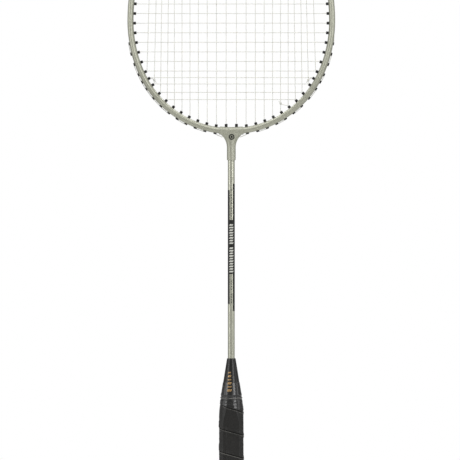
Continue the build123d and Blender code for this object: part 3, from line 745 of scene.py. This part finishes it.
# -------- finishing tape
TAPE_TOP, TAPE_THICKNESS = 174.3, 0.2
TAPE_EDGE_Z, TAPE_SLANT = 149.5, 0.27  # the tape's lower edge where x is 0, and how it leans
TAPE_ROWS = 150
TAPE_SWELLS = (
    # height of the middle, how far it stands out, half its height
    (171.5, 0.05, 2.2),
    (166.0, 0.06, 2.0),
    (161.9, 0.38, 1.2),
    (160.0, -0.1, 0.5),
    (158.6, 0.55, 0.5),
    (157.3, -0.3, 0.45),
    (155.2, 0.34, 1.5),
)
TAPE_FOLDS = ((0.3, 0.16, 0.35), (3.2, 0.2, 0.5), (5.0, 0.1, 0.4))  # the same, above the lower edge
TAPE_LEAST = 0.06  # its surface never lies closer than this to what it covers
PUCKER_TOP = 163.0
TAPE_FOOT, TAPE_LIP = ((0.05, -0.4), (0.0, 0.02)), ((1.0, 0.01), (0.98, -0.1))  # how far up it, and out
TAPE_HEM_Z = 158.6  # the rolled edge of one turn, round the widest bulge
TAPE_HEM = ((0.6, -0.4), (0.5, -0.02), (0.25, 0.16), (-0.1, 0.16), (-0.4, -0.06), (-0.5, -0.4))  # up, and out


def tape_edge(x):
    return TAPE_EDGE_Z - TAPE_SLANT * x


def swell(z, rises):
    return sum(out * exp(-(((z - middle) / half) ** 2)) for middle, out, half in rises)


def pucker(angle, z, around, upwards, shift):
    """Smooth noise round the handle: fine round it and up it as the two scales say, and moved by shift."""
    return noise.noise(Vector((cos(angle) * around, sin(angle) * around, z * upwards + shift)))


def tape_surface(x, y, z, foot):
    """How far the tape stands out from what it covers: its swells, folds and puckers."""
    angle = atan2(y, x)
    tight = ease((z - PUCKER_TOP + 3) / 6)
    upright = pucker(angle, z, 3.1, 0.12, 0)
    small = pucker(angle, z, 7, 0.22, 20)
    strength = 0.75 + 0.5 * pucker(angle, z, 1.6, 0, 7)
    out = TAPE_THICKNESS + swell(z, TAPE_SWELLS) * strength + swell(z - foot, TAPE_FOLDS) * strength
    return max(TAPE_LEAST, out + upright * (0.3 - 0.24 * tight) + small * (0.07 - 0.04 * tight))


def make_tape():
    """Stretched glossy tape over the cone's foot and the end of the grip, puckered where it bunches up."""
    outlines = {level: grip_outline(level) for level in range(floor(TAPE_EDGE_Z) - 6, floor(TAPE_TOP) + 3)}

    def base(k, z):
        level = floor(z)
        x, y, _, _ = lerp(outlines[level][k], outlines[level + 1][k], z - level)
        radius = hypot(x, y)
        return x / radius, y / radius, max(radius, cone_radius(z))

    columns = range(len(outlines[floor(TAPE_TOP)]))
    feet = [tape_edge(base(k, TAPE_EDGE_Z)[0] * GRIP_BODY[0] / 2) for k in columns]

    def ring(rise, extra, outside):
        points = []
        for k in columns:
            z = feet[k] + (TAPE_TOP - feet[k]) * rise
            x, y, radius = base(k, z)
            out = extra + (tape_surface(x, y, z, feet[k]) if outside else 0.0)
            points.append(mm(x * (radius + out), y * (radius + out), z))
        return points

    rings = [ring(rise, out, False) for rise, out in TAPE_FOOT]
    rings += [ring(step / TAPE_ROWS, 0.0, True) for step in range(TAPE_ROWS)]
    rings += [ring(rise, out, False) for rise, out in TAPE_LIP]
    turns = link_mesh("finishing_tape_turns", solid_of_rings(rings, round_again=True))
    adopt(turns, "finishing_tape", tape_material())

    # The hem: a rolled edge round the widest bulge, its paler colour a painted highlight.
    rings = []
    for rise, proud in TAPE_HEM:
        points = []
        for k in columns:
            x, y, radius = base(k, TAPE_HEM_Z + rise)
            out = radius + proud + tape_surface(x, y, TAPE_HEM_Z, feet[k])
            points.append(mm(x * out, y * out, TAPE_HEM_Z + rise))
        rings.append(points)
    hem = link_mesh("finishing_tape_hem", solid_of_rings(rings, round_again=True))
    adopt(hem, None, hem_highlight_material())


# -------- the winding of the grip
def outline_fractions(points):
    """How far along the outline each point lies, from 0 to 1."""
    lengths = [0.0]
    for k in range(len(points)):
        a, b = points[k], points[(k + 1) % len(points)]
        lengths.append(lengths[-1] + hypot(b[0] - a[0], b[1] - a[1]))
    return [length / lengths[-1] for length in lengths]


FOLD_X, FOLD_WIDTH, FOLD_HEIGHT = -5.4, 0.65, 0.24  # the fold on the front; the back's mirrors it
UNDER_TAPE = 0.12  # how far the grip is pressed in under the finishing tape
TAPE_COVER, PRESS_FADE = 0.6, 2.5  # where the pressing is full, past the tape's edge, and its fading below
SEAM_START = 2.0  # the lap's edge begins this far above the grip's end
END_LIPS = ((0.985, 0.0), (0.93, 0.5))  # how each end closes in: its scale, and its depth


def wrinkle(x, y, z):
    """Slow swells, fine creases that lean with the winding, and a pinched fold down each side of the grip."""
    slow = noise.noise(Vector((x * 0.11, y * 0.11, z * 0.09)))
    lean = z + TAPE_SLANT * x
    crease = noise.noise(Vector((x * 0.13, y * 0.13, lean * 0.55 + 40)))
    middle = FOLD_X + 0.5 * sin(z * 0.13)
    pinched = exp(-(((x * (1 if y < 0 else -1) - middle) / FOLD_WIDTH) ** 2)) * (0.6 + 0.4 * sin(z * 0.21))
    return 0.17 * slow + 0.3 * max(0.0, crease) ** 1.5 + FOLD_HEIGHT * pinched


def make_grip():
    """Cushioned tape wound as a helix: the mesh's rows follow the winding, so each seam is one clean edge."""
    outline = octagon_outline(*GRIP_BODY)
    count = len(outline)
    fractions = outline_fractions(outline)
    turns_below = int((WRAP_PHASE_Z - GRIP_BOTTOM) / WRAP_PITCH) + 3
    turns_above = int((GRIP_TOP - WRAP_PHASE_Z) / WRAP_PITCH) + 3
    rows = []
    for turn in range(-turns_below, turns_above):
        for above_seam, stand in WRAP_ROWS:
            rows.append((WRAP_PHASE_Z + turn * WRAP_PITCH + above_seam, stand))
    levels = range(floor(GRIP_BOTTOM) - 3, floor(GRIP_TOP) + 5)
    outlines = {level: grip_outline(level) for level in levels}
    bm = bmesh.new()
    grid = []
    for start, stand in rows:
        line = []
        for k in range(count):
            z = start - WRAP_PITCH * fractions[k]
            inside = max(levels[0], min(levels[-2], z))
            level = floor(inside)
            x, y, nx, ny = lerp(outlines[level][k], outlines[level + 1][k], inside - level)
            fade = ease((tape_edge(x) + TAPE_COVER - z) / PRESS_FADE)
            out = (stand + wrinkle(x, y, z) + UNDER_TAPE) * fade - UNDER_TAPE
            line.append(bm.verts.new(mm(x + nx * out, y + ny * out, z)))
        grid.append(line)
    per_turn = len(WRAP_ROWS)
    for r in range(len(grid) - 1):
        for k in range(count - 1):
            bm.faces.new((grid[r][k], grid[r][k + 1], grid[r + 1][k + 1], grid[r + 1][k]))
        if r >= per_turn:
            lower = r - per_turn
            bm.faces.new((grid[r][-1], grid[lower][0], grid[lower + 1][0], grid[r + 1][-1]))
    for height, direction in ((GRIP_BOTTOM, -1), (GRIP_TOP, 1)):
        everything = bm.verts[:] + bm.edges[:] + bm.faces[:]
        cut = bmesh.ops.bisect_plane(
            bm, geom=everything, plane_co=mm(0, 0, height), plane_no=(0, 0, direction), clear_outer=True
        )
        edges = edges_in(cut["geom_cut"])
        for shrink, drop in END_LIPS:
            edges = edges_in(bmesh.ops.extrude_edge_only(bm, edges=edges)["geom"])
            for vertex in {v for edge in edges for v in edge.verts}:
                vertex.co.x *= shrink
                vertex.co.y *= shrink
                vertex.co.z -= direction * drop / 1000
    adopt(link_mesh("grip_wound", bm), "grip_wrap", grip_material())

    seams = []
    for turn in reversed(range(-turns_below, turns_above)):
        for k in range(count):
            seam = WRAP_PHASE_Z + turn * WRAP_PITCH - WRAP_PITCH * fractions[k]
            if GRIP_BOTTOM + SEAM_START < seam < tape_edge(outline[k][0]) - TAPE_COVER:
                level = floor(seam)
                seams.append((seam, *lerp(outlines[level][k], outlines[level + 1][k], seam - level)))
    for name, profile, finish in (
        # A paler strip along each seam, as a painted highlight.
        ("grip_lap_edge", LAP_EDGE, lap_edge_highlight_material()),
        # A dark strip in each seam, as a painted shadow.
        ("grip_seam_shadow_strip", LAP_SHADOW, seam_shadow_material()),
    ):
        sections = []
        for z, x, y, nx, ny in seams:
            sections.append([mm(x + nx * out, y + ny * out, z + up) for up, out in profile])
        adopt(link_mesh(name, solid_of_rings(sections)), None, finish)


# -------- materials
class Surface:
    """A Principled material with short calls for what its node tree repeats."""

    def __init__(self, name, colour, roughness, **sockets):
        self.material = bpy.data.materials.new(name)
        self.material.use_nodes = True
        self.tree = self.material.node_tree
        self.shader = self.tree.nodes["Principled BSDF"]
        self.shader.inputs["Base Color"].default_value = (*colour, 1)
        self.shader.inputs["Roughness"].default_value = roughness
        for socket, value in sockets.items():
            self.shader.inputs[socket.replace("_", " ").title().replace("Ior", "IOR")].default_value = value
        self.place = self.node("ShaderNodeTexCoord").outputs["Object"]
        self.normal = None

    def link(self, source, target):
        self.tree.links.new(source, target)

    def node(self, kind, inputs=(), **settings):
        """A new node; inputs holds its sockets, each with its value or with the output that feeds it."""
        node = self.tree.nodes.new(kind)
        for key, value in settings.items():
            setattr(node, key, value)
        for socket, value in dict(inputs).items():
            if isinstance(value, bpy.types.NodeSocket):
                self.link(value, node.inputs[socket])
            else:
                node.inputs[socket].default_value = value
        return node

    def noise(self, scale, detail=3.0, roughness=0.5, stretch=None, distortion=0.0):
        """Noise in object coordinates, which stretch scales by a different amount along each axis."""
        place = self.place
        if stretch:
            place = self.node("ShaderNodeMapping", {"Vector": place, "Scale": stretch}).outputs["Vector"]
        inputs = {"Vector": place, "Scale": scale, "Detail": detail}
        inputs |= {"Roughness": roughness, "Distortion": distortion}
        return self.node("ShaderNodeTexNoise", inputs).outputs["Fac"]

    def cells(self, scale, feature="F1", output="Distance"):
        inputs = {"Vector": self.place, "Scale": scale}
        return self.node("ShaderNodeTexVoronoi", inputs, feature=feature).outputs[output]

    def ramp(self, value, *stops):
        """A colour or grey ramp; each stop is (position, grey or colour)."""
        ramp = self.node("ShaderNodeValToRGB", {"Fac": value})
        elements = ramp.color_ramp.elements
        while len(elements) < len(stops):
            elements.new(0.5)
        for element, (position, colour) in zip(elements, stops):
            element.position = position
            element.color = (*colour, 1) if isinstance(colour, tuple) else (colour, colour, colour, 1)
        return ramp.outputs["Color"]

    def product(self, a, b):
        """One colour multiplied by another: a colour mix's sockets 6 and 7, fully mixed by socket 0."""
        inputs = {0: 1.0, 6: a, 7: b}
        return self.node("ShaderNodeMix", inputs, data_type="RGBA", blend_type="MULTIPLY").outputs[2]

    def colour(self, source):
        self.link(source, self.shader.inputs["Base Color"])

    def roughness(self, value, low, high):
        """Roughness that follows a texture between two values."""
        spread = self.node("ShaderNodeMapRange", {"Value": value, "To Min": low, "To Max": high})
        self.link(spread.outputs["Result"], self.shader.inputs["Roughness"])

    def bump(self, height, strength, depth_mm):
        """Adds a bump on top of those already there."""
        inputs = {"Height": height, "Strength": strength, "Distance": depth_mm / 1000}
        if self.normal:
            inputs["Normal"] = self.normal
        self.normal = self.node("ShaderNodeBump", inputs).outputs["Normal"]
        self.link(self.normal, self.shader.inputs["Normal"])


PAINT = (0.372, 0.376, 0.302)
PAINT_LIGHT = (0.46, 0.465, 0.385)
PAINT_DARK = (0.285, 0.288, 0.228)


def painted(name, roughness, grain_scale, grain_bump, shade=1.0, coat=0.25):
    """Champagne paint with metal flake in it, under a thin clear coat."""
    surface = Surface(name, PAINT, roughness, metallic=0.45, coat_weight=coat, coat_roughness=0.15)
    flake = surface.cells(grain_scale, output="Color")
    tone = surface.ramp(flake, (0.0, PAINT_DARK), (0.5, PAINT), (1.0, PAINT_LIGHT))
    cloud = surface.ramp(surface.noise(60, 4), (0.3, 0.92 * shade), (0.7, shade))
    surface.colour(surface.product(tone, cloud))
    surface.roughness(surface.noise(grain_scale * 0.4, 4), roughness - 0.06, roughness + 0.08)
    surface.bump(surface.noise(grain_scale * 0.5, 3), 0.35, grain_bump)
    return surface


def frame_material():
    return painted("champagne_paint_frame", 0.42, 2600, 0.02, coat=0.12).material


def joint_material():
    surface = painted("champagne_paint_joint", 0.5, 1400, 0.09, shade=0.96)
    surface.bump(surface.cells(1400, "SMOOTH_F1"), 0.45, 0.09)
    return surface.material


def shaft_material():
    return painted("champagne_paint_shaft", 0.28, 3200, 0.012).material


def ink(name, colour, roughness):
    """Printed ink: even, with the faint mottle of a transfer and a slight gloss."""
    surface = Surface(name, colour, roughness, specular_ior_level=0.2)
    paler = tuple(min(1.0, c * 1.3 + 0.002) for c in colour)
    surface.colour(surface.ramp(surface.noise(1500, 5, 0.7), (0.35, colour), (0.75, paler)))
    surface.roughness(surface.noise(500, 3), roughness - 0.05, roughness + 0.1)
    surface.bump(surface.noise(900, 2), 0.2, 0.01)
    return surface.material


def ink_material():
    return ink("ink_black", (0.012, 0.012, 0.011), 0.42)


def pale_ink_material():
    return ink("ink_pale", (0.47, 0.475, 0.43), 0.4)


def gold_ink_material():
    gold = (0.34, 0.2, 0.075)
    surface = Surface("ink_gold", gold, 0.34, metallic=0.45, coat_weight=0.4, coat_roughness=0.1)
    dark, light = (0.24, 0.14, 0.055), (0.42, 0.27, 0.11)
    surface.colour(surface.ramp(surface.noise(1400, 5, 0.7), (0.3, dark), (0.7, light)))
    surface.bump(surface.noise(1200, 2), 0.3, 0.01)
    return surface.material


def moulded(name, colour, roughness, texture_scale, depth):
    """Moulded plastic with a fine spark-eroded texture and faint handling marks."""
    surface = Surface(name, colour, roughness, specular_ior_level=0.3)
    worn = tuple(c * 1.6 + 0.003 for c in colour)
    surface.colour(surface.ramp(surface.noise(90, 6, 0.65), (0.45, colour), (0.8, worn)))
    surface.roughness(surface.noise(160, 5, 0.6), roughness - 0.05, roughness + 0.12)
    surface.bump(surface.noise(texture_scale, 3), 0.4, depth)
    return surface


def cone_material():
    return moulded("cone_black_plastic", (0.0095, 0.0095, 0.0088), 0.28, 1100, 0.02).material


def butt_material():
    return moulded("butt_black_plastic", (0.015, 0.015, 0.0145), 0.45, 900, 0.04).material


def nylon_material():
    return moulded("grommet_black_nylon", (0.008, 0.008, 0.008), 0.34, 2000, 0.02).material


def string_material():
    """Multifilament string: ivory, with the twist of its outer wrap as fine slanting ridges."""
    surface = Surface("string_ivory", (0.6, 0.6, 0.55), 0.38, subsurface_weight=0.15)
    surface.shader.inputs["Subsurface Radius"].default_value = (0.0006, 0.0005, 0.0004)
    fibres = surface.noise(2600, 4, 0.6)
    surface.colour(surface.ramp(fibres, (0.3, (0.55, 0.55, 0.505)), (0.7, (0.76, 0.76, 0.715))))
    inputs = {"Vector": surface.place, "Scale": 700, "Distortion": 1.5}
    twist = surface.node("ShaderNodeTexWave", inputs, wave_type="BANDS", bands_direction="DIAGONAL")
    surface.bump(twist.outputs["Fac"], 0.35, 0.02)
    return surface.material


def tape_material():
    """Glossy stretched tape: dark, with small puckers that break up its reflections."""
    black = (0.005, 0.005, 0.0045)
    surface = Surface("tape_glossy_film", black, 0.31, specular_ior_level=0.55, coat_weight=0.15)
    surface.shader.inputs["Coat Roughness"].default_value = 0.25
    haze = surface.ramp(surface.noise(240, 4), (0.3, (0.002, 0.002, 0.0018)), (0.75, (0.009, 0.0088, 0.008)))
    surface.colour(haze)
    surface.bump(surface.noise(200, 2, 0.5, stretch=(1, 1, 0.5)), 0.3, 0.06)
    surface.bump(surface.noise(1100, 2), 0.1, 0.01)
    return surface.material


def hem_highlight_material():
    """The same tape over its rolled edge, coloured paler as a painted highlight along the ring."""
    surface = Surface("tape_hem_painted_highlight", (0.07, 0.069, 0.063), 0.34, specular_ior_level=0.5)
    dark, light = (0.045, 0.044, 0.04), (0.1, 0.098, 0.09)
    surface.colour(surface.ramp(surface.noise(300, 4), (0.3, dark), (0.7, light)))
    surface.bump(surface.noise(900, 3), 0.25, 0.02)
    return surface.material


def grip_material():
    """Cushioned polyurethane tape: near black, finely pored, a little shiny where it is stretched."""
    black = (0.012, 0.0115, 0.0105)
    surface = Surface("grip_soft_black", black, 0.5, specular_ior_level=0.28, sheen_weight=0.05)
    tone = surface.noise(45, 6, 0.6)
    surface.colour(surface.ramp(tone, (0.3, (0.0035, 0.0033, 0.003)), (0.7, (0.012, 0.0114, 0.01))))
    surface.roughness(surface.noise(70, 6, 0.7), 0.34, 0.64)
    surface.bump(surface.noise(140, 5, 0.6, stretch=(1, 1, 2.5), distortion=0.6), 0.5, 0.18)
    pores = surface.ramp(surface.cells(1200, "SMOOTH_F1"), (0.05, 0.0), (0.45, 1.0))
    surface.bump(pores, 0.6, 0.08)
    return surface.material


def lap_edge_highlight_material():
    """The lap's edge, coloured a paler grey than the grip as a painted highlight along each seam."""
    surface = Surface("grip_edge_painted_highlight", (0.06, 0.058, 0.053), 0.5)
    dark, light = (0.03, 0.029, 0.026), (0.12, 0.116, 0.105)
    surface.colour(surface.ramp(surface.noise(90, 5), (0.35, dark), (0.65, light)))
    surface.bump(surface.noise(1300, 3), 0.4, 0.03)
    return surface.material


def seam_shadow_material():
    """A dull black strip laid in each seam: a painted shadow under the lap's edge."""
    surface = Surface("grip_seam_painted_shadow", (0.006, 0.006, 0.0055), 0.8, specular_ior_level=0.12)
    dark, light = (0.003, 0.003, 0.003), (0.009, 0.009, 0.008)
    surface.colour(surface.ramp(surface.noise(400, 4), (0.3, dark), (0.7, light)))
    surface.bump(surface.noise(700, 3), 0.4, 0.04)
    return surface.material


def steel_material():
    surface = Surface("tack_steel", (0.5, 0.5, 0.49), 0.34, metallic=1.0)
    surface.roughness(surface.noise(900, 4, stretch=(1, 8, 1)), 0.25, 0.5)
    surface.bump(surface.noise(1400, 3, stretch=(1, 8, 1)), 0.3, 0.01)
    return surface.material


def wood_material():
    """Pale straight-grained wood."""
    surface = Surface("handle_pale_wood", (0.52, 0.36, 0.2), 0.6)
    grain = surface.noise(260, 6, 0.6, stretch=(1, 1, 0.05), distortion=0.8)
    surface.colour(surface.ramp(grain, (0.3, (0.4, 0.26, 0.13)), (0.65, (0.6, 0.43, 0.25))))
    surface.bump(grain, 0.3, 0.08)
    return surface.material


def dress_cad_nodes():
    """Materials for the CAD nodes that stay in view as they are."""
    nylon = nylon_material()
    steel = steel_material()
    finishes = {
        "head_frame": frame_material(),
        "shaft": shaft_material(),
        "shaft_decal": ink_material(),
        "shaft_pin": steel,
        "butt_tacks": steel,
        "handle_core": wood_material(),
        "cone_cap": cone_material(),
        "butt_cap": butt_material(),
    }
    for name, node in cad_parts.items():
        finish = nylon if name.startswith("grommets") else finishes.get(name)
        if finish:
            coat(node, finish)


# -------- stage, light and camera
FLOOR_RADIUS_M = 0.85
VIEW_SPAN_M = 0.46  # the width of the view at the strings
VIEW_CENTRE_M = (-0.0013, 0.3263)
CAMERA_DISTANCE_M = 2.2
SENSOR_MM = 36.0
BACKDROP = 1.0
AMBIENT = 0.3


def make_stage():
    bm = bmesh.new()
    bmesh.ops.create_circle(bm, cap_ends=True, segments=96, radius=FLOOR_RADIUS_M)
    floor_disc = link_mesh("floor", bm, smooth=False)
    surface = Surface("floor_pale", (0.8, 0.8, 0.79), 0.7)
    surface.colour(surface.ramp(surface.noise(6, 4), (0.3, (0.78, 0.78, 0.77)), (0.7, (0.82, 0.82, 0.81))))
    surface.bump(surface.noise(400, 3), 0.1, 0.1)
    floor_disc.data.materials.append(surface.material)


def make_world():
    """White to the camera, softer as a light."""
    world = bpy.data.worlds.new("studio")
    world.use_nodes = True
    tree = world.node_tree
    background = tree.nodes["Background"]
    background.inputs["Color"].default_value = (1, 1, 1, 1)
    rays = tree.nodes.new("ShaderNodeLightPath")
    strength = tree.nodes.new("ShaderNodeMapRange")
    strength.inputs["To Min"].default_value = AMBIENT
    strength.inputs["To Max"].default_value = BACKDROP
    tree.links.new(rays.outputs["Is Camera Ray"], strength.inputs["Value"])
    tree.links.new(strength.outputs["Result"], background.inputs["Strength"])
    bpy.context.scene.world = world


LIGHTS = (
    # name, place and size in metres, watts: all aimed at the middle of the racket
    ("key_right", (1.3, -1.75, 1.0), (0.6, 1.5), 25),
    ("fill_left", (-1.85, -1.15, 0.8), (0.8, 1.5), 17),
    ("side_right", (2.0, -0.3, 0.7), (0.5, 1.4), 5),
    ("side_left", (-2.0, -0.2, 0.7), (0.5, 1.4), 4),
    ("top_soft", (0.0, -0.5, 2.1), (1.4, 1.0), 16),
    ("back_left", (-0.9, 1.2, 2.0), (0.7, 1.0), 12),
    ("back_right", (0.9, 1.2, 2.0), (0.7, 1.0), 12),
)


def make_lights():
    target = Vector((0, 0, VIEW_CENTRE_M[1]))
    for name, place, (width, height), power in LIGHTS:
        light = bpy.data.lights.new(name, "AREA")
        light.shape = "RECTANGLE"
        light.size, light.size_y = width, height
        light.energy = power
        lamp = in_scene(name, light)
        lamp.location = place
        lamp.rotation_euler = (target - Vector(place)).to_track_quat("-Z", "Y").to_euler()


def make_camera():
    camera = bpy.data.cameras.new("camera")
    camera.sensor_width = SENSOR_MM
    camera.lens = SENSOR_MM * CAMERA_DISTANCE_M / VIEW_SPAN_M
    eye = in_scene("camera", camera)
    eye.location = (VIEW_CENTRE_M[0], -CAMERA_DISTANCE_M, VIEW_CENTRE_M[1])
    eye.rotation_euler = (pi / 2, 0, 0)
    bpy.context.scene.camera = eye


make_camera()
make_stage()
make_world()
make_lights()
dress_cad_nodes()
make_strings()
make_mark(make_joint())
make_shaft_print()
make_cone_print()
make_tape()
make_grip()
bpy.context.scene.view_settings.view_transform = "Standard"
